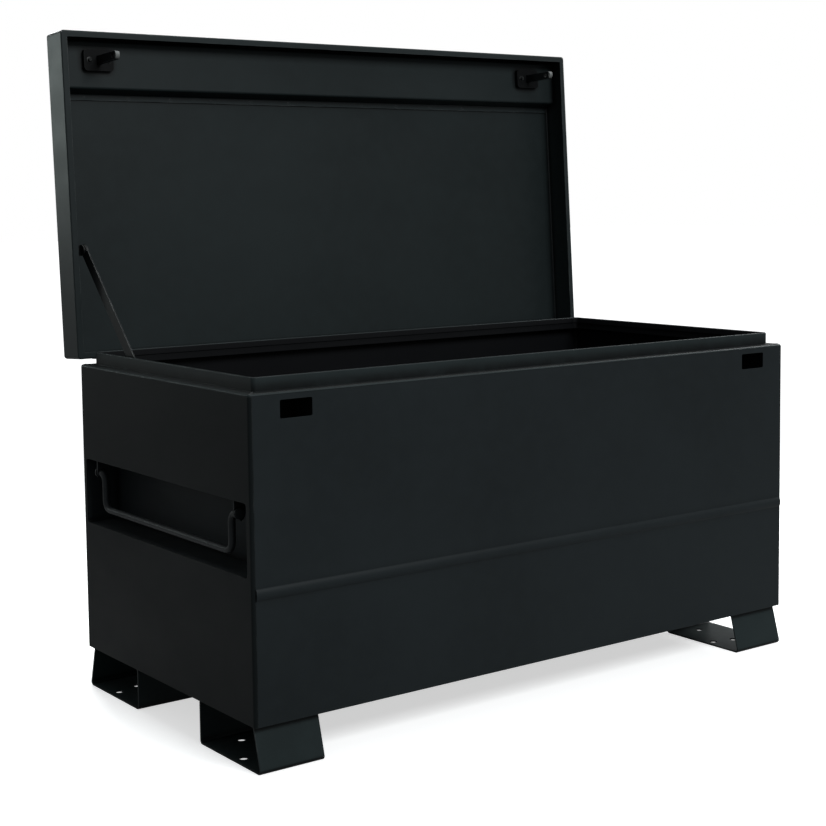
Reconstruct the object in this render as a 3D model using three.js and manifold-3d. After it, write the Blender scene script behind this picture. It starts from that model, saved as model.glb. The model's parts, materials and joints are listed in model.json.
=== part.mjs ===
// A steel jobsite storage box with its lid open, in millimetres, +Z up, its front toward -Y.
// The origin lies on the ground under the middle of the open box.

import * as THREE from 'three';
import { mergeVertices } from 'three/addons/utils/BufferGeometryUtils.js';
import Module from 'manifold-3d';

const wasm = await Module();
wasm.setup();

// Overall sizes
const bodyWidth = 1220;
const bodyDepth = 602;
const panelHeight = 525;
const footHeight = 76;
const sheet = 2;
const cornerBend = 6;
const seatGap = 0.3;
const runningGap = 0.5;
const cutOverrun = 4;

// Facets of a quarter turn, those of a small corner, and sides of a round bar
const bendSteps = 4;
const cornerSteps = 2;
const barSides = 16;
const pinSides = 12;

// Rim round the mouth
const ledgeWidth = 20;
const rimHeight = 23;
const edgeBend = 4;
const hemDepth = 12;
const rimBend = 8;

// Rib and lock windows of the front panel
const ribHeight = 210;
const ribWidth = 22;
const ribProud = 4;
const lockInset = 86;
const windowWidth = 60;
const windowHeight = 29.5;
const windowDrop = 13;
const windowBend = 2.5;

// Recess in each side, with its bail and ears
const pocketTopDrop = 172;
const pocketHeight = 118;
const pocketInset = 15;
const pocketDepth = 64;
const pocketBend = 5;
const bailBar = 12;
const bailEndRoom = 60;
const bailDrop = 64;
const bailPivotDrop = 22;
const bailSetback = 9;
const bailBend = 16;
const bailCap = 18;
const bailCapWidth = 4;
const earWidth = 4;
const earReach = 14;

// Floor tray and feet
const trayEdge = 25;
const trayBend = 8;
const footLength = 120;
const footDepth = 195;
const footSheet = 3;
const footFlare = 20;
const footOverhang = 5;
const footInset = 6;
const footFlange = 22;
const footBend = 5;
const footHole = 15;
const footHoleRise = 65;
const footHoleDrop = 28;
const footHoleSpread = 43;
const footHoleShift = 15;

// Hinge
const lidLift = 3;
const openDegrees = 93.4;
const hingeInset = 40;
const knuckleCount = 19;
const knuckleGap = 0.6;
const barrelSize = 9;
const hingePinSize = 5;
const leafSheet = 1.5;
const leafWidth = 28;

// Lid
const lidHeight = 66;
const lidEdgeBend = 5;
const lidFrameWidth = 20;
const lidLip = 12;
const lidLipBend = 3;
const channelDepth = 25;
const channelFrontGap = 12;
const channelFace = 88;
const channelSlope = 8;
const channelFlange = 12;
const channelBend = 4;

// Lock staples, their brackets and the housings that take them
const stapleSetback = 49;
const stapleLength = 84;
const stapleWidth = 16;
const stapleSheet = 8;
const stapleHole = 9;
const stapleHoleRise = 16;
const bracketWidth = 60;
const bracketLength = 40;
const bracketHeight = 9;
const bracketBend = 6;
const housingWidth = 90;
const housingDepth = 84;
const housingTopDrop = 5;
const housingHeight = 65;
const housingSlotLength = 24;
const housingSlotWidth = 20;

// Stay arm, its pivot on the lid and its slotted track
const stayReach = 205;
const stayRise = 14;
const studDepth = 45;
const stayDropDegrees = 46;
const stayTurnShare = 0.3;
const stayWidth = 22;
const stayBar = 3;
const stayPivot = 8;
const stayHead = 15;
const stayHeadWidth = 3;
const stayPlateLength = 60;
const stayPlateHeight = 22;
const stayPlateBend = 7;
const stayHangWidth = 20;
const stayWebGap = 1;
const stud = 9;
const studHead = 15;
const studHeadWidth = 2.5;
const trackSheet = 3;
const trackMargin = 9;
const trackEnd = 20;
const trackLugDrop = 26;
const standoff = 14;
const trackSteps = 20;

// Levels and faces that the pieces share
const faceX = bodyWidth / 2;
const faceY = bodyDepth / 2;
const panelHalf = faceX - cornerBend;
const lockOffset = faceX - lockInset;
const bailHalfSpan = faceY - pocketInset - bailEndRoom;
const hingeHalf = faceX - hingeInset;
const knucklePitch = (2 * hingeHalf) / knuckleCount;
const panelTop = footHeight + panelHeight;
const pocketTop = panelTop - pocketTopDrop;
const wallTop = panelTop - edgeBend;
const rimTop = panelTop + rimHeight;
const hemSheet = 2 * sheet;
const pocketFlange = pocketInset - cornerBend - seatGap;
const lidBottom = panelTop + lidLift;
const lidTop = lidBottom + lidHeight;
const hingeY = faceY + runningGap + barrelSize / 2;
const hingeZ = lidBottom;
const openAngle = THREE.MathUtils.degToRad(openDegrees);
const stayDrop = THREE.MathUtils.degToRad(stayDropDegrees);

// Materials

function paint(color, roughness = 0.5) {
  return new THREE.MeshStandardMaterial({ color, roughness, metalness: 0.2 });
}

function bareMetal(color, roughness = 0.35) {
  return new THREE.MeshStandardMaterial({ color, roughness, metalness: 0.9 });
}

const bodyPaint = 0x20272b;
const rimPaint = 0x283034;
const lidPaint = 0x242d31;
const footPaint = 0x2a3236;
const hardwarePaint = 0x1b1f22;
const zinc = 0x8d9294;

// Shapes

function solidOf(geometry) {
  const bare = geometry.clone();
  bare.deleteAttribute('normal');
  bare.deleteAttribute('uv');
  const merged = mergeVertices(bare);
  return new wasm.Manifold(new wasm.Mesh({
    numProp: 3,
    vertProperties: new Float32Array(merged.attributes.position.array),
    triVerts: new Uint32Array(merged.index.array),
  }));
}

function meshOf(name, solid, color, look = paint) {
  const data = solid.getMesh();
  const geometry = new THREE.BufferGeometry();
  geometry.setAttribute('position', new THREE.BufferAttribute(data.vertProperties, 3));
  geometry.setIndex(new THREE.BufferAttribute(data.triVerts, 1));
  geometry.computeVertexNormals();
  const mesh = new THREE.Mesh(geometry, look(color));
  mesh.name = name;
  return mesh;
}

function joined(solids) {
  return solids.reduce((whole, next) => whole.add(next));
}

function without(solid, cuts) {
  return cuts.reduce((rest, cut) => rest.subtract(cut), solid);
}

function mirroredX(solid) {
  return solid.mirror([1, 0, 0]);
}

function mirroredY(solid) {
  return solid.mirror([0, 1, 0]);
}

// Turns from the plane of an outline to the axis that it is drawn out along
const uprightTurn = new THREE.Matrix4();
const sidewaysTurn = new THREE.Matrix4().set(0, 0, 1, 0, 1, 0, 0, 0, 0, 1, 0, 0, 0, 0, 0, 1);
const inwardTurn = new THREE.Matrix4().set(0, 1, 0, 0, 0, 0, 1, 0, 1, 0, 0, 0, 0, 0, 0, 1);

function drawnOut(outline, from, to, turn) {
  const shape = new THREE.Shape(outline.map(([u, v]) => new THREE.Vector2(u, v)));
  const geometry = new THREE.ExtrudeGeometry(shape, { depth: to - from, bevelEnabled: false });
  geometry.translate(0, 0, from);
  geometry.applyMatrix4(turn);
  return solidOf(geometry);
}

// An outline in X, Y drawn out along Z, one in Y, Z along X, and one in Z, X along Y
const alongZ = (outline, from, to) => drawnOut(outline, from, to, uprightTurn);
const alongX = (outline, from, to) => drawnOut(outline, from, to, sidewaysTurn);
const alongY = (outline, from, to) => drawnOut(outline, from, to, inwardTurn);

function arc(u, v, radius, fromDegrees, toDegrees, steps = bendSteps) {
  return Array.from({ length: steps + 1 }, (_, i) => {
    const angle = THREE.MathUtils.degToRad(fromDegrees + ((toDegrees - fromDegrees) * i) / steps);
    return [u + radius * Math.cos(angle), v + radius * Math.sin(angle)];
  });
}

function circle(u, v, radius, sides = barSides) {
  return arc(u, v, radius, 0, 360, sides).slice(0, sides);
}

function rectangle(u0, u1, v0, v1) {
  return [[u0, v0], [u1, v0], [u1, v1], [u0, v1]];
}

function roundedRectangle(u0, u1, v0, v1, radius, steps = bendSteps) {
  return [
    ...arc(u0 + radius, v0 + radius, radius, 180, 270, steps),
    ...arc(u1 - radius, v0 + radius, radius, 270, 360, steps),
    ...arc(u1 - radius, v1 - radius, radius, 0, 90, steps),
    ...arc(u0 + radius, v1 - radius, radius, 90, 180, steps),
  ];
}

function block(x0, x1, y0, y1, z0, z1) {
  return alongZ(rectangle(x0, x1, y0, y1), z0, z1);
}

// The outline of a bent sheet whose middle line runs through the points, with each bend rounded
function bentSheet(points, thickness, bend) {
  const line = roundedPath(points, bend);
  const side = (sign) => line.map((point, i) => {
    const before = line[Math.max(i - 1, 0)];
    const after = line[Math.min(i + 1, line.length - 1)];
    const inward = point.clone().sub(i === 0 ? after : before).normalize();
    const outward = after.clone().sub(i === line.length - 1 ? before : point).normalize();
    if (i === 0) inward.copy(outward);
    if (i === line.length - 1) outward.copy(inward);
    const tangent = inward.clone().add(outward).normalize();
    const reach = thickness / 2 / tangent.dot(outward);
    return [point.x - sign * tangent.y * reach, point.y + sign * tangent.x * reach];
  });
  return [...side(-1), ...side(1).reverse()];
}

// The points of a path with each of its corners rounded
function roundedPath(points, radius) {
  return points.flatMap((point, i) => {
    if (i === 0 || i === points.length - 1) return [new THREE.Vector2(...point)];
    return roundedCorner(points[i - 1], point, points[i + 1], radius);
  });
}

// The direction of a path at one of its points
function tangentAt(line, i) {
  const before = line[Math.max(i - 1, 0)];
  const after = line[Math.min(i + 1, line.length - 1)];
  return after.clone().sub(before).normalize();
}

// The arc that rounds the corner of a path, as points from one leg to the other
function roundedCorner(before, corner, after, radius) {
  const at = new THREE.Vector2(...corner);
  const back = new THREE.Vector2(...before).sub(at).normalize();
  const ahead = new THREE.Vector2(...after).sub(at).normalize();
  const half = Math.acos(THREE.MathUtils.clamp(back.dot(ahead), -1, 1)) / 2;
  const centre = back.clone().add(ahead).normalize().multiplyScalar(radius / Math.sin(half)).add(at);
  const first = back.multiplyScalar(radius / Math.tan(half)).add(at).sub(centre);
  const last = ahead.multiplyScalar(radius / Math.tan(half)).add(at).sub(centre);
  const turn = Math.atan2(first.cross(last), first.dot(last));
  return Array.from({ length: bendSteps + 1 }, (_, i) => {
    return first.clone().rotateAround(new THREE.Vector2(), (turn * i) / bendSteps).add(centre);
  });
}

// A closed skin over rings of equal length: the last ring meets the first, or both ends are capped
function loft(rings, looped) {
  const count = rings[0].length;
  const positions = rings.flat(2);
  const faces = [];
  const spans = looped ? rings.length : rings.length - 1;
  for (let i = 0; i < spans; i += 1) {
    const next = (i + 1) % rings.length;
    for (let j = 0; j < count; j += 1) {
      const k = (j + 1) % count;
      faces.push(i * count + j, i * count + k, next * count + k);
      faces.push(i * count + j, next * count + k, next * count + j);
    }
  }
  if (!looped) {
    const last = (rings.length - 1) * count;
    for (let j = 1; j < count - 1; j += 1) {
      faces.push(0, j + 1, j);
      faces.push(last, last + j, last + j + 1);
    }
  }
  const geometry = new THREE.BufferGeometry();
  geometry.setAttribute('position', new THREE.Float32BufferAttribute(positions, 3));
  geometry.setIndex(faces);
  return solidOf(geometry);
}

// A section swept round the body's plan. Its points give the distance in from the outer face, the level
// and the bend of the upright corners there, starting at the outer foot and going up the outside.
function framed(section) {
  return loft(section.map(([inset, level, bend]) => {
    const plan = roundedRectangle(inset - faceX, faceX - inset, inset - faceY, faceY - inset, bend);
    return plan.map(([x, y]) => [x, y, level]);
  }), true);
}

// A round bar through points in one plane, with each bend rounded, in Y and Z at a given X
function bentBar(points, radius, bend, x) {
  const line = roundedPath(points, bend);
  const section = circle(0, 0, radius, pinSides);
  return loft(line.map((point, i) => {
    const tangent = tangentAt(line, i);
    return section.map(([u, v]) => [x + u, point.x + v * tangent.y, point.y - v * tangent.x]);
  }), false);
}

// Body panels

// The flat front or back sheet, between the bends of the side panels
function wallPanel() {
  return block(-panelHalf, panelHalf, -faceY, sheet - faceY, footHeight, wallTop);
}

// The segment of a circle that the pressed rib has as its section, in Y and Z
function ribSection(radiusDrop, wallY) {
  const radius = (ribWidth ** 2 / 4 + ribProud ** 2) / (2 * ribProud);
  const centreY = ribProud - radius;
  const level = footHeight + ribHeight;
  const cut = radius - radiusDrop;
  const half = THREE.MathUtils.radToDeg(Math.acos((-centreY - radiusDrop) / cut));
  const bow = arc(-faceY - centreY, level, cut, 180 - half, 180 + half, 2 * bendSteps);
  return [...bow, [wallY, bow[bow.length - 1][1]], [wallY, bow[0][1]]];
}

function frontPanel() {
  const ribOuter = alongX(ribSection(0, sheet / 2 - faceY), -panelHalf, panelHalf);
  const ribHollow = alongX(
    ribSection(sheet, sheet + cutOverrun - faceY), sheet - panelHalf, panelHalf - sheet);
  const top = panelTop - windowDrop;
  const windowCuts = [-lockOffset, lockOffset].map((x) => {
    const outline = roundedRectangle(
      top - windowHeight, top, x - windowWidth / 2, x + windowWidth / 2, windowBend, cornerSteps);
    return alongY(outline, -faceY - cutOverrun, cutOverrun - faceY);
  });
  return without(wallPanel().add(ribOuter), [ribHollow, ...windowCuts]);
}

// The left side: one sheet bent round the upright corners, with the opening of the handle recess
function sidePanel() {
  const inner = cornerBend - sheet;
  const x = cornerBend - faceX;
  const y = faceY - cornerBend;
  const plan = [
    ...arc(x, y, cornerBend, 90, 180),
    ...arc(x, -y, cornerBend, 180, 270),
    ...arc(x, -y, inner, 270, 180),
    ...arc(x, y, inner, 180, 90),
  ];
  const opening = alongX(pocketOutline(0), -faceX - cutOverrun, cutOverrun - faceX);
  return alongZ(plan, footHeight, wallTop).subtract(opening);
}

// The recess outline in Y and Z, grown by a margin
function pocketOutline(grow) {
  const half = faceY - pocketInset + grow;
  const low = pocketTop - pocketHeight - grow;
  return roundedRectangle(-half, half, low, pocketTop + grow, pocketBend + grow, cornerSteps);
}

function floorPanel() {
  const insetX = faceX - sheet;
  const insetY = faceY - sheet;
  const outer = roundedRectangle(-insetX, insetX, -insetY, insetY, trayBend, cornerSteps);
  const inner = roundedRectangle(
    sheet - insetX, insetX - sheet, sheet - insetY, insetY - sheet, trayBend - sheet, cornerSteps);
  const tray = alongZ(outer, footHeight, footHeight + trayEdge);
  return tray.subtract(alongZ(inner, footHeight + sheet, footHeight + trayEdge + cutOverrun));
}

// The ledge, upstand and hem round the mouth, in one frame
function rimFrame() {
  const hemBottom = rimTop - hemDepth;
  const hemInset = ledgeWidth + hemSheet;
  const bendAt = (inset) => (inset < ledgeWidth ? Math.max(cornerBend - inset, sheet) : rimBend);
  const outerEdge = arc(edgeBend, wallTop, edgeBend, 180, 90);
  const hemEdge = arc(ledgeWidth + sheet, rimTop - sheet, sheet, 180, 0, 2 * bendSteps);
  const innerEdge = arc(edgeBend, wallTop, edgeBend - sheet, 90, 180);
  const outline = [
    ...outerEdge,
    [ledgeWidth, panelTop],
    ...hemEdge,
    [hemInset, hemBottom],
    [ledgeWidth + sheet, hemBottom],
    [ledgeWidth + sheet, panelTop - sheet],
    ...innerEdge,
  ];
  return framed(outline.map(([inset, level]) => [inset, level, bendAt(inset)]));
}

// Handle recess

// The bail's pivot line, and the ears that carry it just past its bends
const bailX = bailSetback - faceX;
const bailZ = pocketTop - bailPivotDrop;
const earNear = bailHalfSpan + bailBend + runningGap;

function earPlates() {
  const top = pocketTop + sheet / 2;
  const hole = circle(bailZ, bailX, bailBar / 2 + runningGap, pinSides);
  const outline = [
    [top, sheet - faceX],
    [top, bailX + earReach],
    ...arc(bailZ, bailX, earReach, 90, 180).slice(0, bendSteps),
    ...arc(bailZ, bailX, bailSetback - sheet, 180, 270),
  ].reverse();
  return [-1, 1].map((end) => {
    const from = end < 0 ? -earNear - earWidth : earNear;
    const plate = alongY(outline, from, from + earWidth);
    return plate.subtract(alongY(hole, from - cutOverrun, from + earWidth + cutOverrun));
  });
}

// The left recess: flange, walls, back and the two ears, welded into one
function handlePocket() {
  const flangeFront = sheet - faceX;
  const back = pocketDepth - faceX;
  const flange = alongX(pocketOutline(pocketFlange), flangeFront, flangeFront + sheet);
  const walls = alongX(pocketOutline(sheet), flangeFront, back + sheet);
  const hollow = alongX(pocketOutline(0), flangeFront - cutOverrun, back);
  return joined([flange.add(walls).subtract(hollow), ...earPlates()]);
}

function liftHandle() {
  const low = bailZ - bailDrop;
  const earFar = earNear + earWidth + runningGap;
  const end = earFar + bailCapWidth;
  const path = [
    [-end, bailZ],
    [-bailHalfSpan, bailZ],
    [-bailHalfSpan, low],
    [bailHalfSpan, low],
    [bailHalfSpan, bailZ],
    [end, bailZ],
  ];
  const bar = bentBar(path, bailBar / 2, bailBend, bailX);
  const cap = circle(bailZ, bailX, bailCap / 2, pinSides);
  return joined([bar, alongY(cap, earFar, end), alongY(cap, -end, -earFar)]);
}

// Feet

// The front left foot: a channel with one flared wall, open at both ends
function foot() {
  const half = footSheet / 2;
  const outer = -faceY - footOverhang;
  const inner = outer + footDepth;
  const top = footHeight - half;
  const section = bentSheet([
    [outer + footFlare + footFlange, top],
    [outer + footFlare + half, top],
    [outer + half, half],
    [inner - half, half],
    [inner - half, top],
    [inner - footFlange, top],
  ], footSheet, footBend);
  const x0 = footInset - faceX;
  const channel = alongX(section, x0, x0 + footLength);
  const middle = [x0 + footLength / 2, (outer + inner) / 2];
  const holes = [
    [0, footHoleRise],
    [0, -footHoleDrop],
    [footHoleSpread, -footHoleShift],
    [-footHoleSpread, -footHoleShift],
  ];
  return without(channel, holes.map(([x, y]) => alongZ(
    circle(middle[0] + x, middle[1] + y, footHole / 2, pinSides), -cutOverrun, footSheet + cutOverrun)));
}

// Hinge

// One leaf with its own knuckles: those of even number, or of odd number
function hingeLeaf(odd, gap, up) {
  const barrel = barrelSize / 2;
  const clear = barrel + runningGap;
  const front = faceY + gap;
  const far = up ? hingeZ + leafWidth : hingeZ - leafWidth;
  const plate = block(
    -hingeHalf, hingeHalf, front, front + leafSheet, Math.min(far, hingeZ), Math.max(far, hingeZ));
  const tubes = [];
  const notches = [];
  for (let i = 0; i < knuckleCount; i += 1) {
    const from = -hingeHalf + i * knucklePitch;
    const to = from + knucklePitch;
    if (i % 2 === odd) {
      const round = circle(hingeY, hingeZ, barrel, pinSides);
      tubes.push(alongX(round, from + knuckleGap / 2, to - knuckleGap / 2));
    } else {
      const low = up ? hingeZ - cutOverrun : hingeZ - clear;
      const high = up ? hingeZ + clear : hingeZ + cutOverrun;
      notches.push(block(from - knuckleGap / 2, to + knuckleGap / 2,
        front - cutOverrun, front + leafSheet + cutOverrun, low, high));
    }
  }
  const bore = alongX(
    circle(hingeY, hingeZ, hingePinSize / 2 + seatGap, pinSides),
    -hingeHalf - cutOverrun, hingeHalf + cutOverrun);
  return joined([without(plate, notches), ...tubes]).subtract(bore);
}

function hingePin() {
  return alongX(circle(hingeY, hingeZ, hingePinSize / 2, pinSides), -hingeHalf, hingeHalf);
}

// Lid pieces, drawn with the lid closed

function lidShell() {
  const bendAt = (inset) => Math.max(cornerBend - inset, sheet);
  const outline = [
    ...arc(lidLipBend, lidBottom + lidLipBend, lidLipBend, 270, 180),
    ...arc(lidEdgeBend, lidTop - lidEdgeBend, lidEdgeBend, 180, 90),
    [lidFrameWidth, lidTop],
    [lidFrameWidth, lidTop - sheet],
    ...arc(lidEdgeBend, lidTop - lidEdgeBend, lidEdgeBend - sheet, 90, 180),
    ...arc(lidLipBend, lidBottom + lidLipBend, lidLipBend - sheet, 180, 270),
    [lidLip, lidBottom + sheet],
    [lidLip, lidBottom],
  ];
  const edge = framed(outline.map(([inset, level]) => [inset, level, bendAt(inset)]));
  const insetX = faceX - lidFrameWidth + sheet;
  const insetY = faceY - lidFrameWidth + sheet;
  return edge.add(block(-insetX, insetX, -insetY, insetY, lidTop - sheet, lidTop));
}

function latchChannel() {
  const panTop = lidTop - sheet - seatGap - sheet / 2;
  const faceLevel = panTop - channelDepth;
  const near = channelFrontGap - faceY;
  const far = near + channelFace;
  const section = bentSheet([
    [near, panTop],
    [near, faceLevel],
    [far, faceLevel],
    [far + channelSlope, panTop],
    [far + channelSlope + channelFlange, panTop],
  ], sheet, channelBend);
  const half = faceX - lidEdgeBend - seatGap;
  return alongX(section, -half, half);
}

// The level of the channel's visible face with the lid closed
const channelLevel = lidTop - sheet - seatGap - channelDepth - sheet;
const stapleY = stapleSetback - faceY;

function latchBracket() {
  const top = channelLevel - seatGap;
  const plate = roundedRectangle(-lockOffset - bracketWidth / 2, bracketWidth / 2 - lockOffset,
    stapleY - bracketLength / 2, stapleY + bracketLength / 2, bracketBend, cornerSteps);
  const solid = alongZ(plate, top - bracketHeight, top);
  const socket = stapleOutline(seatGap);
  return solid.subtract(alongZ(socket, top - bracketHeight - cutOverrun, top - bracketHeight / 2));
}

function stapleOutline(grow) {
  const halfX = stapleSheet / 2 + grow;
  const halfY = stapleWidth / 2 + grow;
  return rectangle(-lockOffset - halfX, halfX - lockOffset, stapleY - halfY, stapleY + halfY);
}

function lockStaple() {
  const top = channelLevel - seatGap - bracketHeight / 2 - seatGap;
  const tip = top - stapleLength;
  const nose = stapleWidth / 2;
  const side = [
    ...arc(stapleY, tip + nose, nose, 180, 360, 2 * bendSteps),
    [stapleY + nose, top],
    [stapleY - nose, top],
  ];
  const from = -lockOffset - stapleSheet / 2;
  const to = from + stapleSheet;
  const hole = circle(stapleY, tip + stapleHoleRise, stapleHole / 2, pinSides);
  return alongX(side, from, to).subtract(alongX(hole, from - cutOverrun, to + cutOverrun));
}

// The box behind the left lock window, open to the front, with a slot in its top
function lockHousing() {
  const x0 = -lockOffset - housingWidth / 2;
  const x1 = x0 + housingWidth;
  const y0 = sheet - faceY;
  const y1 = y0 + housingDepth;
  const top = panelTop - housingTopDrop;
  const low = top - housingHeight;
  const shell = block(x0, x1, y0, y1, low, top);
  const hollow = block(x0 + sheet, x1 - sheet, y0 - cutOverrun, y1 - sheet, low + sheet, top - sheet);
  const slot = block(-lockOffset - housingSlotWidth / 2, housingSlotWidth / 2 - lockOffset,
    stapleY - housingSlotLength / 2, stapleY + housingSlotLength / 2,
    top - sheet - cutOverrun, top + cutOverrun);
  return without(shell, [hollow, slot]);
}

// Stay: planes from the rim's inner face inward
const trackX = ledgeWidth + hemSheet + runningGap - faceX;
const armX = trackX + trackSheet + runningGap;
const stayPivotY = hingeY - stayReach;
const stayPivotZ = hingeZ + stayRise;

function turned(angle, y, z) {
  return [y * Math.cos(angle) - z * Math.sin(angle), y * Math.sin(angle) + z * Math.cos(angle)];
}

// The arm's length puts the guide stud at its depth under the panels' top with the lid open
const openPivot = turned(-openAngle, -stayReach, stayRise);
const stayLength = (hingeZ + openPivot[1] - panelTop + studDepth) / Math.sin(stayDrop);

// Where the guide stud is once the lid has closed by an angle
function studPlace(closed) {
  const pivot = turned(closed - openAngle, -stayReach, stayRise);
  const arm = turned(stayDrop - stayTurnShare * closed, -stayLength, 0);
  return [hingeY + pivot[0] + arm[0], hingeZ + pivot[1] + arm[1]];
}

// A band of one width along the stud's path, running past it by a length at each end
function pathBand(width, beyond) {
  const path = Array.from({ length: trackSteps + 1 }, (_, i) => studPlace((openAngle * i) / trackSteps));
  const line = path.map(([y, z]) => new THREE.Vector2(y, z));
  const stretch = (end, next) => end.clone().add(end.clone().sub(next).setLength(beyond));
  line.unshift(stretch(line[0], line[1]));
  line.push(stretch(line[line.length - 1], line[line.length - 2]));
  const side = (sign) => line.map((point, i) => {
    const tangent = tangentAt(line, i);
    return [point.x - (sign * tangent.y * width) / 2, point.y + (sign * tangent.x * width) / 2];
  });
  return { outline: [...side(-1), ...side(1).reverse()].reverse(), ends: [line[0], line[line.length - 1]] };
}

function stayTrack() {
  const width = stud + 2 * runningGap + 2 * trackMargin;
  const band = pathBand(width, trackEnd);
  const slot = pathBand(stud + 2 * runningGap, stud / 2 + runningGap);
  const middle = studPlace(openAngle / 2);
  const feet = [...band.ends.map((end) => [end.x, end.y]), [middle[0], middle[1] - trackLugDrop]];
  const plates = feet.map(([y, z]) => alongX(circle(y, z, width / 2), trackX, trackX + trackSheet));
  const posts = feet.map(([y, z]) => alongX(
    circle(y, z, standoff / 2), sheet - faceX, trackX + trackSheet / 2));
  const plate = alongX(band.outline, trackX, trackX + trackSheet);
  const cut = alongX(slot.outline, trackX - cutOverrun, trackX + trackSheet + cutOverrun);
  return joined([joined([plate, ...plates]).subtract(cut), ...posts]);
}

// The cranked bracket on the lid's left skirt: it crosses over the rim and hangs down inside it,
// and carries the rivet that the arm turns on
function stayBracket() {
  const wall = sheet + seatGap - faceX;
  const hangFar = trackX + trackSheet;
  const armFar = armX + stayBar + runningGap;
  const web = rimTop + stayWebGap;
  const half = stayHangWidth / 2;
  const plate = roundedRectangle(
    stayPivotY - stayPlateLength / 2, stayPivotY + stayPlateLength / 2,
    web, web + stayPlateHeight, stayPlateBend, cornerSteps);
  const hang = [
    ...arc(stayPivotY, stayPivotZ, half, 180, 360, 2 * bendSteps),
    [stayPivotY + half, web + stayBar],
    [stayPivotY - half, web + stayBar],
  ];
  const round = (size, sides) => circle(stayPivotY, stayPivotZ, size / 2, sides);
  return joined([
    alongX(plate, wall, wall + stayBar),
    block(wall, hangFar, stayPivotY - half, stayPivotY + half, web, web + stayBar),
    alongX(hang, trackX, hangFar),
    alongX(round(stayPivot, pinSides), trackX, armFar + stayHeadWidth / 2),
    alongX(round(stayHead, barSides), armFar, armFar + stayHeadWidth),
  ]);
}

// The flat bar, drawn along -Y from its pivot at the origin
function stayArm() {
  const half = stayWidth / 2;
  const outline = [
    ...arc(0, 0, half, -90, 90, 2 * bendSteps),
    ...arc(-stayLength, 0, half, 90, 270, 2 * bendSteps),
  ];
  const bar = alongX(outline, armX, armX + stayBar);
  const hole = circle(0, 0, stayPivot / 2 + seatGap, pinSides);
  return bar.subtract(alongX(hole, armX - cutOverrun, armX + stayBar + cutOverrun));
}

// The headed stud at the bar's lower end, through the track's slot
function guideStud() {
  const behind = trackX - runningGap;
  const shank = alongX(circle(-stayLength, 0, stud / 2, pinSides), behind - studHeadWidth / 2, armX);
  const head = alongX(circle(-stayLength, 0, studHead / 2, pinSides), behind - studHeadWidth, behind);
  return shank.add(head);
}

// Assembly

const box = new THREE.Group();
const lid = new THREE.Group();
lid.position.set(0, hingeY, hingeZ);
lid.rotation.x = -openAngle;
box.add(lid);

const arm = new THREE.Group();
arm.position.set(0, -stayReach, stayRise);
arm.rotation.x = openAngle + stayDrop;
lid.add(arm);

function addToLid(name, solid, color, look = paint) {
  lid.add(meshOf(name, solid.translate([0, -hingeY, -hingeZ]), color, look));
}

box.add(meshOf('front_panel', frontPanel(), bodyPaint));
box.add(meshOf('back_panel', mirroredY(wallPanel()), bodyPaint));
box.add(meshOf('floor_panel', floorPanel(), bodyPaint));
box.add(meshOf('rim_frame', rimFrame(), rimPaint));
box.add(meshOf('stay_track', stayTrack(), hardwarePaint));

const sides = [['left', (solid) => solid], ['right', mirroredX]];
for (const [side, placed] of sides) {
  box.add(meshOf(`${side}_side_panel`, placed(sidePanel()), bodyPaint));
  box.add(meshOf(`${side}_handle_pocket`, placed(handlePocket()), bodyPaint));
  box.add(meshOf(`${side}_lift_handle`, placed(liftHandle()), footPaint));
  box.add(meshOf(`${side}_lock_housing`, placed(lockHousing()), hardwarePaint));
  box.add(meshOf(`front_${side}_foot`, placed(foot()), footPaint));
  box.add(meshOf(`rear_${side}_foot`, mirroredY(placed(foot())), footPaint));
  addToLid(`${side}_latch_bracket`, placed(latchBracket()), hardwarePaint);
  addToLid(`${side}_lock_staple`, placed(lockStaple()), zinc, bareMetal);
}

box.add(meshOf('hinge_body_leaf', hingeLeaf(0, 0, false), lidPaint));
box.add(meshOf('hinge_pin', hingePin(), zinc, bareMetal));
addToLid('hinge_lid_leaf', hingeLeaf(1, seatGap, true), lidPaint);
addToLid('lid_shell', lidShell(), lidPaint);
addToLid('latch_channel', latchChannel(), lidPaint);
addToLid('stay_bracket', stayBracket(), hardwarePaint);
arm.add(meshOf('stay_arm', stayArm(), hardwarePaint));
arm.add(meshOf('stay_guide_stud', guideStud(), zinc, bareMetal));

// The open lid reaches behind the body, so the box moves forward to stand centred over its origin
box.updateMatrixWorld(true);
const reach = new THREE.Box3().setFromObject(box, true);
box.position.y = -(reach.min.y + reach.max.y) / 2;
box.updateMatrixWorld(true);

export default box;
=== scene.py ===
"""Jobsite storage box with its lid open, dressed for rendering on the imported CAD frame.

Lengths are in metres, except for the small pieces, which are worked out in millimetres.
"""

import json
import math
import random

import bmesh
import bpy
from mathutils import Matrix, Vector


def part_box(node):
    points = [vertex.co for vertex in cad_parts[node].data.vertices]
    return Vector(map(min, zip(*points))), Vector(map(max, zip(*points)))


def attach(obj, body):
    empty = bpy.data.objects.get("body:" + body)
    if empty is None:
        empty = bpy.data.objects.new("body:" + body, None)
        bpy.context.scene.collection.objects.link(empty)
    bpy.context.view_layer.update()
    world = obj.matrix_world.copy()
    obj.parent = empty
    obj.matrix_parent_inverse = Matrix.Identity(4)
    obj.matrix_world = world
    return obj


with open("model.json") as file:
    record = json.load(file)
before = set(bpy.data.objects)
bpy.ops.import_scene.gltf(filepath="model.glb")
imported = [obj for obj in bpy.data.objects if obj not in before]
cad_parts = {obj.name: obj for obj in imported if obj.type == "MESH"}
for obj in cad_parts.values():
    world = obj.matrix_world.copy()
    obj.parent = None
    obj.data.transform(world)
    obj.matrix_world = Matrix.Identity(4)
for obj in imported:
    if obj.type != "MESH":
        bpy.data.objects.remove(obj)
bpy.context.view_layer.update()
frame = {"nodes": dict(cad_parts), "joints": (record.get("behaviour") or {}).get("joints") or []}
nodes = frame["nodes"]
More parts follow.
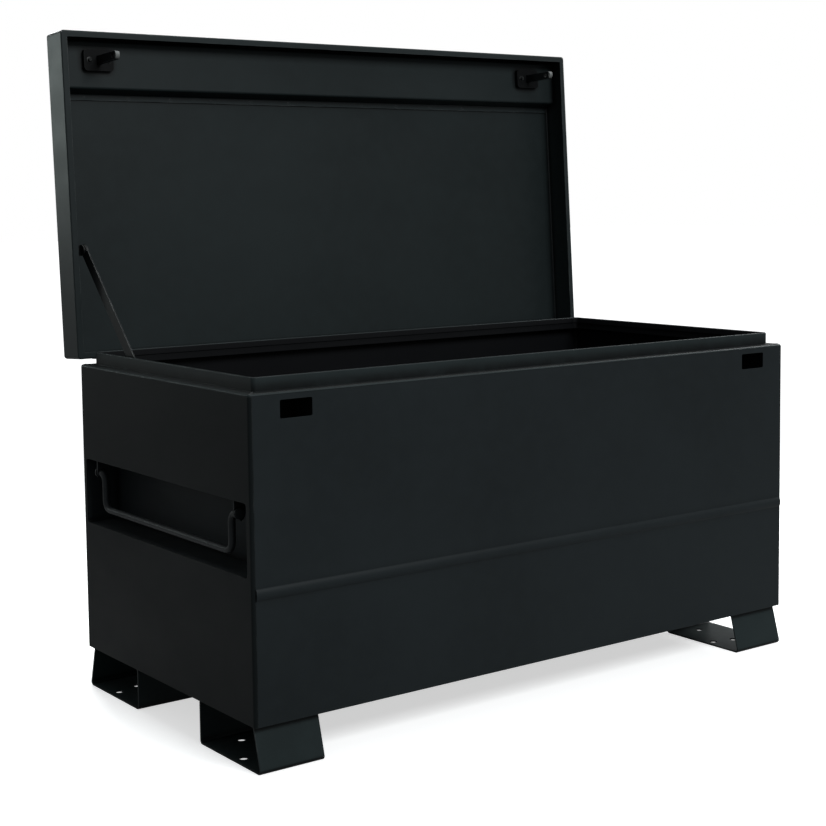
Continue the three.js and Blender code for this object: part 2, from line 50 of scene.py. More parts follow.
rng = random.Random(7)
MM = 0.001

SIDES = ("left", "right")
FEET = ("front_left_foot", "front_right_foot", "rear_left_foot", "rear_right_foot")


def add_object(name, data):
    obj = bpy.data.objects.new(name, data)
    bpy.context.scene.collection.objects.link(obj)
    return obj


# Camera

# Side and centre row of the photograph and its focal length, in pixels
IMAGE = 826
PRINCIPAL_Y = 335.0
FOCAL_PX = 1614.0

# Angles in radians
YAW, PITCH, ROLL = 0.6347, -0.0862, -0.0115
CAMERA_AT = (-1.8607, -2.4773, 0.9015)
SENSOR_MM = 36.0
NEAR, FAR = 0.05, 100.0


def make_camera():
    """The photograph's camera. Its lens is shifted down a little, so the box's uprights lean less."""
    forward = Vector((math.sin(YAW) * math.cos(PITCH), math.cos(YAW) * math.cos(PITCH), math.sin(PITCH)))
    right = Vector((math.cos(YAW), -math.sin(YAW), 0.0))
    up = right.cross(forward)
    across = right * math.cos(ROLL) + up * math.sin(ROLL)
    above = up * math.cos(ROLL) - right * math.sin(ROLL)
    data = bpy.data.cameras.new("camera")
    data.sensor_width = SENSOR_MM
    data.lens = FOCAL_PX / IMAGE * SENSOR_MM
    data.shift_y = (PRINCIPAL_Y - IMAGE / 2) / IMAGE
    data.clip_start = NEAR
    data.clip_end = FAR
    camera = add_object("camera", data)
    turn = Matrix((across, above, -forward)).transposed().to_4x4()
    camera.matrix_world = Matrix.Translation(CAMERA_AT) @ turn
    bpy.context.scene.camera = camera


# Colours


def srgb(red, green, blue):
    """A linear colour from a display colour in steps of 255."""
    def linear(value):
        value /= 255.0
        return value / 12.92 if value <= 0.04045 else ((value + 0.055) / 1.055) ** 2.4

    return (linear(red), linear(green), linear(blue), 1.0)


def scaled(colour, factor):
    """A colour made lighter or darker by a factor."""
    return tuple(min(c * factor, 1.0) for c in colour[:3]) + (1.0,)


STEEL = srgb(112, 116, 116)
SCUFFED = srgb(130, 132, 130)
BRIGHT_STEEL = srgb(116, 118, 117)
DUST = srgb(96, 98, 94)
# Painted shade for the rim's faces that look up
TOP_SHADE = srgb(13, 15, 15)
# Painted shade for tight inner corners
CORNER_SHADE = srgb(8, 9, 10)
# Painted shade for faces that look into the box
INSIDE_SHADE = srgb(12, 13, 15)

# Node trees

# Numbers of the colour mix node's colour sockets, because other sockets of it have the same names
MIX_FIRST, MIX_SECOND, MIX_RESULT = 6, 7, 2

# How much of the white backdrop shows in gloss
GLOSSY_SHARE = 0.2


class Tree:
    """The node tree of a material or a world, with short calls to build it."""

    def __init__(self, owner, output):
        owner.use_nodes = True
        self.tree = owner.node_tree
        self.tree.nodes.clear()
        self.output = self.node(output)

    def feed(self, node, key, value):
        """Gives an input a plain value, or links it where the value is another node's socket."""
        if isinstance(value, bpy.types.NodeSocket):
            self.tree.links.new(value, node.inputs[key])
        else:
            node.inputs[key].default_value = value

    def node(self, kind, inputs=None, **settings):
        """A new node with its settings, fed by name or number of input."""
        node = self.tree.nodes.new(kind)
        for name, value in settings.items():
            setattr(node, name, value)
        for key, value in (inputs or {}).items():
            self.feed(node, key, value)
        return node

    def show(self, shader):
        """Makes a shader the one that shows."""
        self.feed(self.output, 0, shader.outputs[0])

    def spread(self, value, low, high, to_low=0.0, to_high=1.0):
        """Eases from to_low, where the value is low, to to_high, where it is high."""
        limits = {"From Min": low, "From Max": high, "To Min": to_low, "To Max": to_high}
        eased = self.node("ShaderNodeMapRange", {"Value": value, **limits}, interpolation_type="SMOOTHSTEP")
        return eased.outputs["Result"]

    def backdrop_share(self):
        """1 for the rays that see the white backdrop, a share for glossy rays, and 0 for the rest."""
        rays = self.node("ShaderNodeLightPath").outputs
        terms = {0: rays["Is Glossy Ray"], 1: GLOSSY_SHARE, 2: rays["Is Camera Ray"]}
        seen = self.node("ShaderNodeMath", terms, operation="MULTIPLY_ADD").outputs[0]
        terms = {0: seen, 1: rays["Is Transmission Ray"]}
        return self.node("ShaderNodeMath", terms, operation="ADD", use_clamp=True).outputs[0]

    def show_backdrop(self, room, backdrop):
        """Shows the backdrop to the rays that see it, and the room to those that light the object."""
        shaders = {0: self.backdrop_share(), 1: room.outputs[0], 2: backdrop.outputs[0]}
        self.show(self.node("ShaderNodeMixShader", shaders))


class Paint(Tree):
    """A material with one principled shader, and patterns that lie still on the object."""

    def __init__(self, name):
        self.material = bpy.data.materials.new(name)
        super().__init__(self.material, "ShaderNodeOutputMaterial")
        self.shader = self.node("ShaderNodeBsdfPrincipled")
        self.show(self.shader)
        self.coord = self.node("ShaderNodeTexCoord").outputs["Object"]

    def noise(self, scale, detail, roughness=0.5, stretch=None):
        """Cloudy noise. stretch is a factor for each axis, which packs the pattern closer along it."""
        vector = self.coord
        if stretch:
            vector = self.node("ShaderNodeMapping", {"Vector": vector, "Scale": stretch}).outputs["Vector"]
        pattern = {"Scale": scale, "Detail": detail, "Roughness": roughness, "Vector": vector}
        return self.node("ShaderNodeTexNoise", pattern).outputs["Fac"]

    def patches(self, low, high, to_low=0.0, to_high=1.0, **pattern):
        """Noise with its middle values spread out, so that it falls into patches."""
        return self.spread(self.noise(**pattern), low, high, to_low, to_high)

    def times(self, first, second):
        factors = {0: first, 1: second}
        return self.node("ShaderNodeMath", factors, operation="MULTIPLY", use_clamp=True).outputs[0]

    def mixed(self, factor, first, second):
        """The first colour where the factor is 0, and the second where it is 1."""
        colours = {"Factor": factor, MIX_FIRST: first, MIX_SECOND: second}
        return self.node("ShaderNodeMix", colours, data_type="RGBA").outputs[MIX_RESULT]

    def normal(self):
        return self.node("ShaderNodeNewGeometry").outputs["Normal"]

    def part(self, vector, axis):
        return self.node("ShaderNodeSeparateXYZ", {0: vector}).outputs[axis]

    def facing(self, vector):
        """How far a vector points the way that the surface does."""
        vectors = {0: vector, 1: self.normal()}
        return self.node("ShaderNodeVectorMath", vectors, operation="DOT_PRODUCT").outputs["Value"]

    def edges(self, radius):
        """About 1 on the sharp edges of the geometry and 0 on its flats."""
        rounded = self.node("ShaderNodeBevel", {"Radius": radius}, samples=4)
        return self.spread(self.facing(rounded.outputs[0]), 0.995, 0.88)

    def corners(self, reach):
        """About 1 in tight inner corners and 0 on open faces."""
        hollow = self.node("ShaderNodeAmbientOcclusion", {"Distance": reach}, samples=6)
        return self.spread(hollow.outputs["AO"], 0.985, 0.72)

    def upward(self):
        """About 1 on faces that look up, where dust settles, and where a coat may take painted shade
        instead.
        """
        return self.spread(self.part(self.normal(), "Z"), 0.4, 0.95)

    def inward(self):
        """About 1 on faces that look toward the middle of the box and 0 on those that look away."""
        return self.spread(self.facing(self.coord), 0.1, -0.1)

    def near_tip(self, tip):
        """About 1 within a few millimetres of a bar's front end, given as its Y."""
        return self.spread(self.part(self.coord, "Y"), tip + 5 * MM, tip + 3 * MM)

    def bump(self, layers):
        """Stacks bumps, each given as its height, distance and strength."""
        normal = None
        for height, distance, strength in layers:
            inputs = {"Height": height, "Distance": distance, "Strength": strength}
            if normal is not None:
                inputs["Normal"] = normal
            normal = self.node("ShaderNodeBump", inputs).outputs[0]
        self.feed(self.shader, "Normal", normal)


# Materials


def coat(name, colour, worn=STEEL, roughness=0.46, gloss=0.12, wave=0.5, dust_and_top_shade=0.14, rubbed=0.35, inner=None,
         corner_shade_reach=12 * MM, top_shade_colour=None, tip=None):
    """Powder coat on sheet steel, with rubbed edges, dust on faces that look up, and painted shade in tight
    inner corners.

    inner is the colour of the faces that look into the box, painted on as shade. A dark colour given in
    place of dust's is painted shade on faces that look up, and tip is the Y of a bar's end that is worn
    bright.
    """
    paint = Paint(name)
    broad = paint.patches(scale=2.6, detail=4.0, low=0.3, high=0.7)
    base = paint.mixed(broad, scaled(colour, 0.86), scaled(colour, 1.12))

    mottle = paint.patches(scale=34.0, detail=5.0, roughness=0.6, low=0.35, high=0.7)
    base = paint.mixed(paint.times(mottle, 0.35), base, scaled(colour, 1.25))

    chafed = paint.patches(scale=22.0, detail=6.0, roughness=0.65, low=0.42, high=0.66)
    chafed = paint.times(paint.edges(1.6 * MM), chafed)
    base = paint.mixed(paint.times(chafed, rubbed), base, worn)

    # Dust on faces that look up; where a dark colour is given instead, it is painted shade on those faces
    least = 0.7 if top_shade_colour else 0.0
    specks = paint.patches(scale=60.0, detail=8.0, roughness=0.7, low=0.3, high=0.8, to_low=least)
    settled_dust_and_shade = paint.times(paint.upward(), specks)
    base = paint.mixed(paint.times(settled_dust_and_shade, dust_and_top_shade), base, top_shade_colour or DUST)

    # Painted shade on the faces that look into the box
    if inner:
        base = paint.mixed(paint.inward(), base, inner)
    if tip:
        base = paint.mixed(paint.times(paint.near_tip(tip), 0.8), base, BRIGHT_STEEL)

    # Painted shade in tight inner corners, in uneven patches
    corner_shade_patches = paint.patches(scale=26.0, detail=4.0, roughness=0.6, low=0.2, high=0.6, to_low=0.55,
                            to_high=0.9)
    base = paint.mixed(paint.times(paint.corners(corner_shade_reach), corner_shade_patches), base, CORNER_SHADE)

    smear = paint.patches(scale=5.0, detail=5.0, roughness=0.6, stretch=(1.0, 1.0, 2.4), low=0.3, high=0.72,
                          to_low=roughness - 0.02, to_high=roughness + 0.04)
    paint.feed(paint.shader, "Base Color", base)
    paint.feed(paint.shader, "Roughness", smear)
    paint.feed(paint.shader, "Specular IOR Level", gloss)
    paint.bump([
        (paint.noise(scale=1.9, detail=1.0), 4.0 * MM, wave),
        (paint.noise(scale=420.0, detail=2.0), 0.05 * MM, 0.7),
    ])
    return paint.material


def plated(name, colour):
    """Zinc plate: pale spangle with dull patches and a fine grain."""
    paint = Paint(name)
    spangle = paint.node("ShaderNodeTexVoronoi", {"Scale": 260.0, "Vector": paint.coord}).outputs["Color"]
    grey = paint.node("ShaderNodeRGBToBW", {0: spangle}).outputs[0]
    base = paint.mixed(paint.spread(grey, 0.2, 0.8), scaled(colour, 0.8), scaled(colour, 1.15))

    dull = paint.patches(scale=55.0, detail=6.0, roughness=0.65, low=0.45, high=0.7)
    base = paint.mixed(paint.times(dull, 0.6), base, scaled(colour, 0.45))

    smear = paint.patches(scale=90.0, detail=4.0, low=0.3, high=0.7, to_low=0.28, to_high=0.5)
    paint.feed(paint.shader, "Base Color", base)
    paint.feed(paint.shader, "Roughness", smear)
    paint.feed(paint.shader, "Metallic", 0.9)
    paint.bump([(paint.noise(scale=300.0, detail=3.0), 0.06 * MM, 0.6)])
    return paint.material


paints = {
    "front": coat("front_coat", srgb(27, 32, 34), wave=0.6, dust_and_top_shade=0.0, rubbed=0.06, inner=INSIDE_SHADE),
    # A darker copy of the front's coat: painted shade on the sides
    "side": coat("side_coat_painted_shade", srgb(17, 21, 22), gloss=0.07, inner=INSIDE_SHADE),
    # A darker copy of the front's coat: painted shade on the back
    "back": coat("back_coat_painted_shade", srgb(23, 28, 30), gloss=0.1, wave=0.6, inner=INSIDE_SHADE),
    # A darker copy of the coat: painted shade inside the box
    "inside": coat("inside_coat_painted_shade", srgb(18, 21, 22), roughness=0.55, gloss=0.1),
    "recess": coat("recess_coat", srgb(27, 31, 33), roughness=0.55, gloss=0.1),
    # A lighter copy of the coat as painted light, with painted shade on its faces that look up, on those
    # that look into the box and in its inner corners
    "rim": coat("rim_coat_painted_light_and_shade", srgb(34, 41, 42), wave=0.12, dust_and_top_shade=1.0, rubbed=0.03, inner=INSIDE_SHADE,
                corner_shade_reach=20 * MM, top_shade_colour=TOP_SHADE),
    "lid": coat("lid_coat", srgb(28, 34, 35), roughness=0.44, rubbed=0.6),
    # A lighter copy of the coat: painted light on the feet
    "foot": coat("foot_coat_painted_light", srgb(31, 39, 40), roughness=0.42, rubbed=0.5),
    "bail": coat("bail_coat", srgb(33, 36, 38), roughness=0.4),
    "hardware": coat("hardware_coat", srgb(17, 19, 20), SCUFFED, roughness=0.36, wave=0.1, rubbed=0.5),
    "black": coat("black_coat", srgb(10, 11, 12), srgb(90, 92, 90), roughness=0.5, gloss=0.06, wave=0.1,
                  dust_and_top_shade=0.0),
    "staple": coat("staple_coat", srgb(13, 15, 16), SCUFFED, roughness=0.36, wave=0.1, rubbed=0.5,
                   tip=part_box("left_lock_staple")[0].y),
    "zinc": plated("zinc_plate", srgb(150, 153, 152)),
}

# Finish of the CAD nodes

WEARERS = {
    "front": ["front_panel"],
    "back": ["back_panel"],
    "side": ["left_side_panel", "right_side_panel"],
    "inside": ["floor_panel", "left_lock_housing", "right_lock_housing"],
    "rim": ["rim_frame"],
    "recess": ["left_handle_pocket", "right_handle_pocket"],
    "bail": ["left_lift_handle", "right_lift_handle"],
    "foot": FEET,
    "lid": ["lid_shell", "latch_channel", "hinge_body_leaf", "hinge_lid_leaf"],
    "black": ["left_latch_bracket", "right_latch_bracket"],
    "staple": ["left_lock_staple", "right_lock_staple"],
    "hardware": ["stay_bracket", "stay_arm", "stay_track"],
    "zinc": ["hinge_pin", "stay_guide_stud"],
}

# Rounding of edges: the usual one, and that of some nodes. The bails are round bars and need none
EDGE_ROUND = 0.5 * MM
ROUNDS = {
    "lid_shell": 0.7 * MM,
    "rim_frame": 0.6 * MM,
    "left_lift_handle": 0,
    "right_lift_handle": 0,
    "hinge_body_leaf": 0.3 * MM,
    "hinge_lid_leaf": 0.3 * MM,
    "hinge_pin": 0.4 * MM,
}
ROUND_STEPS = 2
SAME_POINT = 0.01 * MM
SAME_PLANE = math.radians(0.6)
ROUNDED_FROM = math.radians(40)
FLAT_WEIGHT = 80


def smooth(mesh):
    for face in mesh.polygons:
        face.use_smooth = True


def dress(name, material):
    """Gives a CAD node its material, and rounds its sharp edges with modifiers."""
    obj = nodes[name]
    mesh = obj.data
    if "custom_normal" in mesh.attributes:
        mesh.attributes.remove(mesh.attributes["custom_normal"])
    smooth(mesh)
    for slot in obj.material_slots:
        slot.material = material
    weld = obj.modifiers.new("weld", "WELD")
    weld.merge_threshold = SAME_POINT
    flat = obj.modifiers.new("flat", "DECIMATE")
    flat.decimate_type = "DISSOLVE"
    flat.angle_limit = SAME_PLANE
    width = ROUNDS.get(name, EDGE_ROUND)
    if width:
        bevel = obj.modifiers.new("bevel", "BEVEL")
        bevel.width = width
        bevel.segments = ROUND_STEPS
        bevel.limit_method = "ANGLE"
        bevel.angle_limit = ROUNDED_FROM
        bevel.use_clamp_overlap = True
    even = obj.modifiers.new("even", "WEIGHTED_NORMAL")
    even.weight = FLAT_WEIGHT
    even.keep_sharp = False


def dress_nodes():
    for paint_name, names in WEARERS.items():
        for name in names:
            dress(name, paints[paint_name])


# Places of the small pieces, in millimetres from here on

SHEET = 2
LEAF_SHEET = 1.5
STAY_BAR = 3
STAY_HANG_WIDTH = 20
STANDOFF = 14
KNUCKLES = 19
RIM_HEIGHT = 23


def box_mm(node):
    """The lowest and highest corners of a CAD node at rest."""
    low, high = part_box(node)
    return low / MM, high / MM


def hinge_turn():
    """The turn about the hinge pin that takes the shut lid to where it stands at rest, wide open."""
    low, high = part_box("hinge_pin")
    middle = (low + high) / 2
    closing = next(joint["range_deg"][1] for joint in frame["joints"] if joint["name"] == "lid_hinge")
    swing = Matrix.Rotation(-math.radians(closing), 4, "X")
    return Matrix.Translation(middle) @ swing @ Matrix.Translation(-middle)


lid_turn = hinge_turn()


def shut_box_mm(node):
    """The lowest and highest corners that a node of the lid has with the lid shut."""
    back = lid_turn.inverted()
    points = [back @ vertex.co / MM for vertex in nodes[node].data.vertices]
    return [Vector(pick(values) for values in zip(*points)) for pick in (min, max)]


def evenly(start, end, pitch):
    """Evenly spaced places between two ends, at about a pitch."""
    count = max(round((end - start) / pitch), 1)
    return [start + (end - start) * i / count for i in range(count + 1)]


def standoff_middles():
    """The middle of each round standoff of the stay's track, found from its end on the wall."""
    wall = box_mm("stay_track")[0].x
    near = 1
    points = [vertex.co / MM for vertex in nodes["stay_track"].data.vertices]
    ends = sorted((p.y, p.z) for p in points if p.x < wall + near)
    groups = [[ends[0]]]
    for before, end in zip(ends, ends[1:]):
        if end[0] - before[0] > STANDOFF:
            groups.append([])
        groups[-1].append(end)
    return [[(min(values) + max(values)) / 2 for values in zip(*group)] for group in groups]


# Shapes of the small pieces

# How far a head reaches into the sheet under it
SINK = 0.4
HEX_SIDES = 6
SHARP_FROM = math.radians(35)
TOUCHING = 0.001 * MM


def piece(name, body, paint_name, shape, turn=None):
    """A new piece from (vertices, faces), turned with the open lid if asked."""
    vertices, faces = shape
    mesh = bpy.data.meshes.new(name)
    mesh.from_pydata([Vector(v) * MM for v in vertices], [], faces)
    if turn is not None:
        mesh.transform(turn)
    work = bmesh.new()
    work.from_mesh(mesh)
    bmesh.ops.remove_doubles(work, verts=work.verts, dist=TOUCHING)
    bmesh.ops.recalc_face_normals(work, faces=work.faces)
    work.to_mesh(mesh)
    work.free()
    smooth(mesh)
    mesh.set_sharp_from_angle(angle=SHARP_FROM)
    mesh.materials.append(paints[paint_name])
    obj = add_object(name, mesh)
    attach(obj, body)


def merged(shapes):
    """Several (vertices, faces) as one."""
    vertices, faces = [], []
    for more_vertices, more_faces in shapes:
        start = len(vertices)
        vertices += more_vertices
        faces += [tuple(i + start for i in face) for face in more_faces]
    return vertices, faces


def square_to(axis):
    """Two directions square to an axis and to each other."""
    side = axis.orthogonal().normalized()
    return side, axis.cross(side)


def around(centre, directions, radius, sides, turn=0.0):
    """The corners of a regular polygon round a centre."""
    side, other = directions
    angles = [turn + 2 * math.pi * i / sides for i in range(sides)]
    return [centre + (side * math.cos(angle) + other * math.sin(angle)) * radius for angle in angles]


def rows_of_quads(rows, sides):
    """The faces of a tube between its neighbouring rows, each with a vertex for every side."""
    faces = []
    for low in range(0, (rows - 1) * sides, sides):
        for i in range(sides):
            k = (i + 1) % sides
            faces.append((low + i, low + k, low + sides + k, low + sides + i))
    return faces


def end_caps(rows, sides):
    """The two faces that close a tube."""
    first = range(sides)
    last = range((rows - 1) * sides, rows * sides)
    return [tuple(reversed(first)), tuple(last)]


def lathe(profile, at, axis, sides=20):
    """A closed round solid: its profile is (radius, height) pairs from the axis out and back to it."""
    axis = Vector(axis).normalized()
    directions = square_to(axis)
    vertices, faces, rings = [], [], []
    for radius, height in profile:
        centre = Vector(at) + axis * height
        corners = around(centre, directions, radius, sides) if radius else [centre]
        rings.append(range(len(vertices), len(vertices) + len(corners)))
        vertices += corners
    for low, high in zip(rings, rings[1:]):
        for i in range(sides):
            k = (i + 1) % sides
            if len(low) == 1:
                faces.append((low[0], high[i], high[k]))
            elif len(high) == 1:
                faces.append((low[k], low[i], high[0]))
            else:
                faces.append((low[i], high[i], high[k], low[k]))
    return vertices, faces


def rivet(at, axis, radius, height):
    """A domed head that stands on a face."""
    steps = 5
    edge_share = 0.25
    angles = [math.pi / 2 * i / steps for i in range(steps)]
    dome = [(radius * math.cos(a), height * (edge_share + (1 - edge_share) * math.sin(a))) for a in angles]
    return lathe([(0, -SINK), (radius, -SINK), *dome, (0, height)], at, axis)


def hex_bolt(at, axis, size, height, turn):
    """A chamfered hexagon head on a thin washer. size is about the head's width across its flats."""
    washer_radius = 0.98 * size
    washer_flat = 0.9 * size
    washer_height = 1.1
    washer_chamfer = 0.2
    washer = lathe([
        (0, -SINK),
        (washer_radius, -SINK),
        (washer_radius, washer_height - washer_chamfer),
        (washer_flat, washer_height),
        (0, washer_height),
    ], at, axis, sides=24)
    corner = 1.04 * size / math.sqrt(3)
    foot = 1.0
    rows = [(foot, 0.99 * corner), (foot + 0.82 * height, corner), (foot + height, 0.86 * corner)]
    axis = Vector(axis).normalized()
    directions = square_to(axis)
    vertices = []
    for level, radius in rows:
        vertices += around(Vector(at) + axis * level, directions, radius, HEX_SIDES, turn)
    faces = rows_of_quads(len(rows), HEX_SIDES) + end_caps(len(rows), HEX_SIDES)
    return merged([washer, (vertices, faces)])


def bead(start, end, radius, step=2.4):
    """A weld bead: ripples of a round section along a line, a little uneven and tapered at both ends."""
    sides = 10
    rows_per_ripple = 3
    ripple_height, uneven, sway = 0.14, 0.064, 0.048
    end_share, taper_rate = 0.35, 6
    start, end = Vector(start), Vector(end)
    length = (end - start).length
    axis = (end - start).normalized()
    directions = square_to(axis)
    side, other = directions
    count = max(int(length / step), 2) * rows_per_ripple
    vertices = []
    for i in range(count + 1):
        share = i / count
        ripple = 1 + ripple_height * math.cos(2 * math.pi * i / rows_per_ripple)
        taper = min(1, end_share + taper_rate * min(share, 1 - share))
        size = radius * ripple * taper * (1 + rng.uniform(-uneven, uneven))
        stray = (side * rng.uniform(-1, 1) + other * rng.uniform(-1, 1)) * radius * sway
        vertices += around(start + axis * length * share + stray, directions, size, sides)
    return vertices, rows_of_quads(count + 1, sides) + end_caps(count + 1, sides)


def weld_ring(at, axis, radius, section):
    """A weld round a post. Its section's last point is the first one again, and piece() merges them."""
    steps = 8
    angles = [2 * math.pi * i / steps for i in range(steps + 1)]
    profile = [(radius + section * math.cos(a), section * math.sin(a)) for a in angles]
    return lathe(profile, at, axis, sides=28)


# The small pieces


def hinge_rivets():
    """Rivets through both leaves of the hinge, each at the middle of one of its leaf's knuckles."""
    low, high = box_mm("hinge_pin")
    level = (low.z + high.z) / 2
    row_offset = 19
    pitch = (high.x - low.x) / KNUCKLES
    middles = [low.x + pitch * (i + 0.5) for i in range(KNUCKLES)]
    body_face = box_mm("back_panel")[1].y + LEAF_SHEET
    lid_face = shut_box_mm("hinge_lid_leaf")[0].y + LEAF_SHEET
    form = {"axis": (0, 1, 0), "radius": 3.4, "height": 2.0}
    heads = [rivet((x, body_face, level - row_offset), **form) for x in middles[::2]]
    piece("hinge_body_rivets", "box", "zinc", merged(heads))
    heads = [rivet((x, lid_face, level + row_offset), **form) for x in middles[1::2]]
    piece("hinge_lid_rivets", "lid", "zinc", merged(heads), lid_turn)


def latch_bolts():
    """Two bolts through each staple's bracket."""
    reach = 19
    for side, outward in zip(SIDES, (-1, 1)):
        low, high = shut_box_mm(f"{side}_latch_bracket")
        middle = (low + high) / 2
        for tag, offset in (("inner", -outward * reach), ("outer", outward * reach)):
            at = (middle.x + offset, middle.y, low.z)
            bolt = hex_bolt(at, (0, 0, -1), size=6.2, height=4.2, turn=rng.uniform(0, 1))
            piece(f"{side}_latch_bolt_{tag}", "lid", "hardware", bolt, lid_turn)


def channel_spot_welds():
    """Spot welds that hold the channel's rear flange to the lid."""
    high = shut_box_mm("latch_channel")[1]
    half_row = 540
    inset = 5
    y, z = high.y - inset, high.z - SHEET
    xs = evenly(-half_row, half_row, pitch=90)
    heads = [rivet((x, y, z), (0, 0, -1), radius=3.6, height=0.45) for x in xs]
    piece("channel_spot_welds", "lid", "lid", merged(heads), lid_turn)


def stay_bracket_bolts():
    """Two bolts through the stay's bracket into the lid's skirt."""
    low, high = shut_box_mm("stay_bracket")
    reach = 21
    drop = 10
    face = low.x + STAY_BAR
    middle = (low.y + high.y) / 2
    for tag, offset in (("front", -reach), ("rear", reach)):
        at = (face, middle + offset, high.z - drop)
        bolt = hex_bolt(at, (1, 0, 0), size=5.2, height=3.6, turn=rng.uniform(0, 1))
        piece(f"stay_bracket_bolt_{tag}", "lid", "zinc", bolt, lid_turn)


def foot_welds():
    """Beads in the grooves where each foot's two walls bend in under the floor."""
    inset = 6
    outer_inset, inner_inset = 23, 1
    depth = 1
    for name in FEET:
        low, high = box_mm(name)
        if "front" in name:
            rows = (low.y + outer_inset, high.y - inner_inset)
        else:
            rows = (high.y - outer_inset, low.y + inner_inset)
        z = high.z - depth
        beads = [bead((low.x + inset, y, z), (high.x - inset, y, z), radius=2.2) for y in rows]
        piece(f"{name}_welds", "box", "foot", merged(beads))


def rim_corner_welds():
    """Mitre seams across the four corners of the ledge."""
    low, high = box_mm("rim_frame")
    level = high.z - RIM_HEIGHT
    seam_ends = (5, 21)
    beads = []
    for x, inward_x in ((low.x, 1), (high.x, -1)):
        for y, inward_y in ((low.y, 1), (high.y, -1)):
            start, end = [(x + inward_x * inset, y + inward_y * inset, level) for inset in seam_ends]
            beads.append(bead(start, end, radius=1.1, step=2.0))
    piece("rim_corner_welds", "box", "rim", merged(beads))


def floor_spot_welds():
    """Spot welds of the floor tray's upturned edges, seen inside the box."""
    low, high = box_mm("floor_panel")
    rise = 17
    end_x, end_y = 50, 60
    pitch = 95
    z = low.z + rise
    xs = evenly(low.x + end_x, high.x - end_x, pitch)
    ys = evenly(low.y + end_y, high.y - end_y, pitch)
    places = [((x, low.y + SHEET, z), (0, 1, 0)) for x in xs]
    places += [((x, high.y - SHEET, z), (0, -1, 0)) for x in xs]
    places += [((low.x + SHEET, y, z), (1, 0, 0)) for y in ys]
    places += [((high.x - SHEET, y, z), (-1, 0, 0)) for y in ys]
    heads = [rivet(at, axis, radius=3.4, height=0.4) for at, axis in places]
    piece("floor_edge_spot_welds", "box", "inside", merged(heads))


def recess_spot_welds(side, inward):
    """Spot welds round the flange of a handle's recess, seen inside the box."""
    low, high = box_mm(f"{side}_handle_pocket")
    face = (low.x if inward > 0 else high.x) + inward * SHEET
    inset = 4.2
    end_y, end_z = 22, 30
    places = []
    for y in evenly(low.y + end_y, high.y - end_y, pitch=74):
        places += [(face, y, low.z + inset), (face, y, high.z - inset)]
    for z in evenly(low.z + end_z, high.z - end_z, pitch=60):
        places += [(face, low.y + inset, z), (face, high.y - inset, z)]
    heads = [rivet(at, (inward, 0, 0), radius=3.0, height=0.4) for at in places]
    piece(f"{side}_recess_spot_welds", "box", "inside", merged(heads))


def housing_welds(side):
    """Beads down both sides of a lock housing and along its underside, on the front panel."""
    low, high = box_mm(f"{side}_lock_housing")
    radius = 1.5
    inset = 6
    off_housing, off_panel = 0.6, 0.8
    y = low.y + off_panel
    left, right, under = low.x - off_housing, high.x + off_housing, low.z - off_housing
    beads = [bead((x, y, low.z + inset), (x, y, high.z - inset), radius) for x in (left, right)]
    beads.append(bead((low.x + inset, y, under), (high.x - inset, y, under), radius))
    piece(f"{side}_housing_welds", "box", "inside", merged(beads))


def stay_track_welds():
    """A weld round each standoff of the stay's track, on the side wall."""
    off_wall, off_standoff = 0.6, 0.2
    x = box_mm("stay_track")[0].x + off_wall
    radius = STANDOFF / 2 + off_standoff
    rings = [weld_ring((x, y, z), (1, 0, 0), radius, section=1.2) for y, z in standoff_middles()]
    piece("stay_track_welds", "box", "hardware", merged(rings))


def channel_stitch_welds():
    """Short beads along the channel's front edge, where it meets the lid."""
    low, high = shut_box_mm("latch_channel")
    stitch = 42
    half_row = 560
    off_lid = 0.8
    y, z = low.y, high.z - off_lid
    starts = evenly(-half_row, half_row - stitch, pitch=154)
    beads = [bead((x, y, z), (x + stitch, y, z), radius=1.3) for x in starts]
    piece("channel_stitch_welds", "lid", "lid", merged(beads), lid_turn)


def stay_pivot_cap():
    """A domed cap on the head of the stay's pivot."""
    low, high = shut_box_mm("stay_bracket")
    at = (high.x, (low.y + high.y) / 2, low.z + STAY_HANG_WIDTH / 2)
    cap = rivet(at, (1, 0, 0), radius=4.6, height=1.6)
    piece("stay_pivot_cap", "lid", "zinc", cap, lid_turn)


def make_pieces():
    """All small pieces, in an order that the seeded random draws depend on."""
    hinge_rivets()
    latch_bolts()
    channel_spot_welds()
    stay_bracket_bolts()
    foot_welds()
    rim_corner_welds()
    floor_spot_welds()
    for side, inward in zip(SIDES, (1, -1)):
        recess_spot_welds(side, inward)
        housing_welds(side)
    stay_track_welds()
    channel_stitch_welds()
    stay_pivot_cap()


# Stage and light, in metres

WHITE = (1.0, 1.0, 1.0, 1.0)
PALE = (0.8, 0.8, 0.8, 1.0)
ROOM_FLOOR = (0.1, 0.103, 0.103, 1.0)
ROOM_AIR = (0.93, 0.98, 1.0, 1.0)
ROOM_STRENGTH = 0.28
COOL_LIGHT = (0.96, 0.99, 1.0)
GREENISH_LIGHT = (0.86, 1.0, 0.97)
FLOOR_HALF = 30.0


def floor_material():
    """White with the object's shadow where it is seen, and dark to the light that it bounces."""
    material = bpy.data.materials.new("floor")
    tree = Tree(material, "ShaderNodeOutputMaterial")
    room = tree.node("ShaderNodeBsdfDiffuse", {"Color": ROOM_FLOOR})
    pale = tree.node("ShaderNodeBsdfDiffuse", {"Color": PALE})
    place = tree.node("ShaderNodeTexCoord").outputs["Object"]
    distance = tree.node("ShaderNodeVectorMath", {0: place}, operation="LENGTH").outputs["Value"]
    strength = tree.spread(distance, low=1.2, high=5.0, to_low=0.6, to_high=1.0)
    glow = tree.node("ShaderNodeEmission", {"Color": WHITE, "Strength": strength})
    white = tree.node("ShaderNodeAddShader", {0: pale.outputs[0], 1: glow.outputs[0]})
    tree.show_backdrop(room, white)
    return material


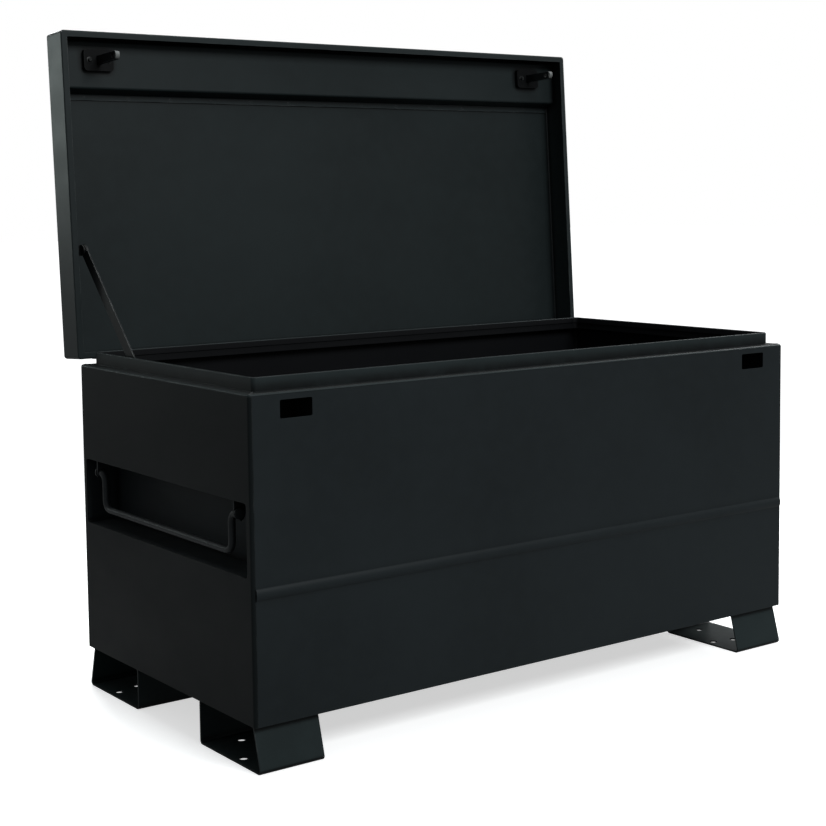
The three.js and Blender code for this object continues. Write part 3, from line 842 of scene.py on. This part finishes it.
def make_stage():
    corners = [(-FLOOR_HALF, -FLOOR_HALF, 0), (FLOOR_HALF, -FLOOR_HALF, 0),
               (FLOOR_HALF, FLOOR_HALF, 0), (-FLOOR_HALF, FLOOR_HALF, 0)]
    mesh = bpy.data.meshes.new("floor")
    mesh.from_pydata(corners, [], [(0, 1, 2, 3)])
    mesh.materials.append(floor_material())
    add_object("floor", mesh)


def make_world():
    world = bpy.data.worlds.new("studio")
    bpy.context.scene.world = world
    tree = Tree(world, "ShaderNodeOutputWorld")
    room = tree.node("ShaderNodeBackground", {"Color": ROOM_AIR, "Strength": ROOM_STRENGTH})
    white = tree.node("ShaderNodeBackground", {"Color": WHITE})
    tree.show_backdrop(room, white)


def area_light(name, at, target, size, power, spread=180, colour=COOL_LIGHT):
    """A rectangular lamp that looks at a target. Its spread is in degrees and its power in watts."""
    data = bpy.data.lights.new(name, "AREA")
    data.shape = "RECTANGLE"
    data.size, data.size_y = size
    data.energy = power
    data.color = colour
    data.spread = math.radians(spread)
    light = add_object(name, data)
    light.location = at
    light.rotation_mode = "QUATERNION"
    light.rotation_quaternion = (Vector(target) - Vector(at)).to_track_quat("-Z", "Y")


def make_lights():
    """One main lamp at the front, fill lamps beside and behind, and a faint one on the lid's left skirt."""
    area_light("key", at=(0.2, -4.6, 3.8), target=(0.0, 0.0, 0.6), size=(2.8, 2.0), power=208)
    area_light("back", at=(0.9, 3.6, 2.2), target=(0.0, 0.4, 0.75), size=(1.8, 1.2), power=28, spread=75)
    area_light("right", at=(3.9, 0.3, 2.2), target=(0.6, 0.0, 0.6), size=(1.4, 1.2), power=22, spread=75)
    area_light("top", at=(0.0, 0.35, 4.2), target=(0.0, 0.0, 0.0), size=(1.2, 0.6), power=12, spread=60)
    area_light("skirt", at=(-2.0, 3.3, 1.38), target=(-0.61, 0.3, 1.12), size=(0.6, 0.7), power=0.42,
               spread=28, colour=GREENISH_LIGHT)


make_camera()
dress_nodes()
make_pieces()
make_stage()
make_world()
make_lights()

scene = bpy.context.scene
scene.view_settings.view_transform = "Standard"
